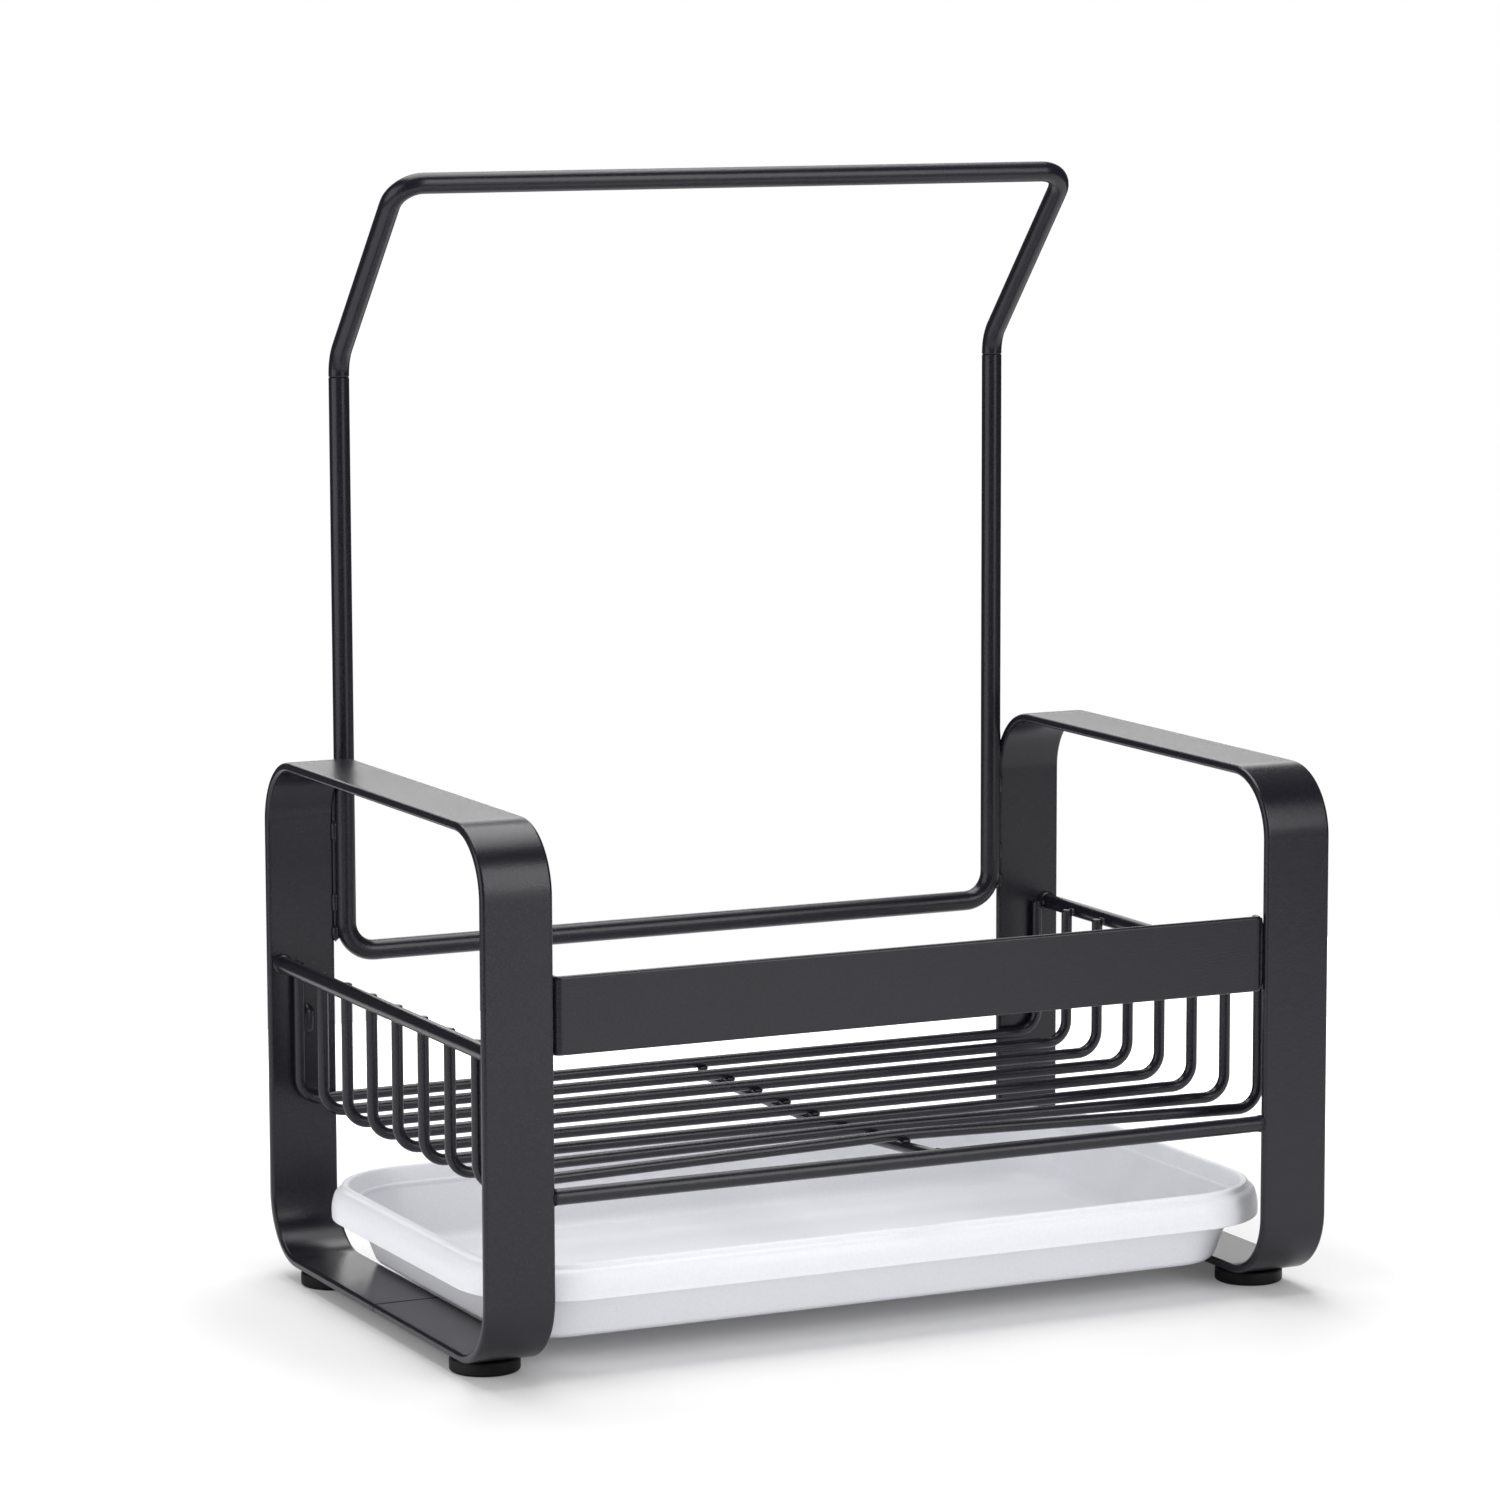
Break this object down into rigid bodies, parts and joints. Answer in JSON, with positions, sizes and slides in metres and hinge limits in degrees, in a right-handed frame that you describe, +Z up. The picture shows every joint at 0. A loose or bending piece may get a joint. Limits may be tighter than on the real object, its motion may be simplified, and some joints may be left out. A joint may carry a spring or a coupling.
{
  "type": "sink caddy",
  "caption": "Black metal sink caddy: a wire basket between two strip loops, a tall towel hanger behind it and a white drip tray that slides out underneath.",
  "frame": {"origin": "on the surface that the feet stand on, below the middle of the caddy", "axes": "+X along the length to the right as seen from the front rail, +Y towards the towel hanger at the back, +Z up"},
  "size_m": [0.24, 0.15, 0.2952],
  "materials": {
    "coated_steel": "black powder coat, satin",
    "dark_steel": "blackened",
    "black_rubber": "matte",
    "white_plastic": "smooth, satin"
  },
  "bodies": {
    "caddy": {"left_side_frame": "coated_steel", "right_side_frame": "coated_steel", "front_rail": "coated_steel", "front_lower_rod": "coated_steel", "basket_wire_1": "coated_steel", "basket_wire_2": "coated_steel", "basket_wire_3": "coated_steel", "basket_wire_4": "coated_steel", "basket_wire_5": "coated_steel", "basket_wire_6": "coated_steel", "basket_wire_7": "coated_steel", "basket_wire_8": "coated_steel", "basket_rod_left": "coated_steel", "basket_rod_right": "coated_steel", "basket_cross_wire": "coated_steel", "hanger_frame": "coated_steel", "towel_bar": "coated_steel", "hanger_stud_left": "dark_steel", "hanger_stud_right": "dark_steel", "foot_front_left": "black_rubber", "foot_front_right": "black_rubber", "foot_rear_left": "black_rubber", "foot_rear_right": "black_rubber"},
    "tray": {"drip_tray": "white_plastic"}
  },
  "joints": [
    {"name": "tray_slide", "type": "slide", "parent": "caddy", "child": "tray", "axis": [1, 0, 0], "range_m": [-0.245, 0.245]}
  ]
}
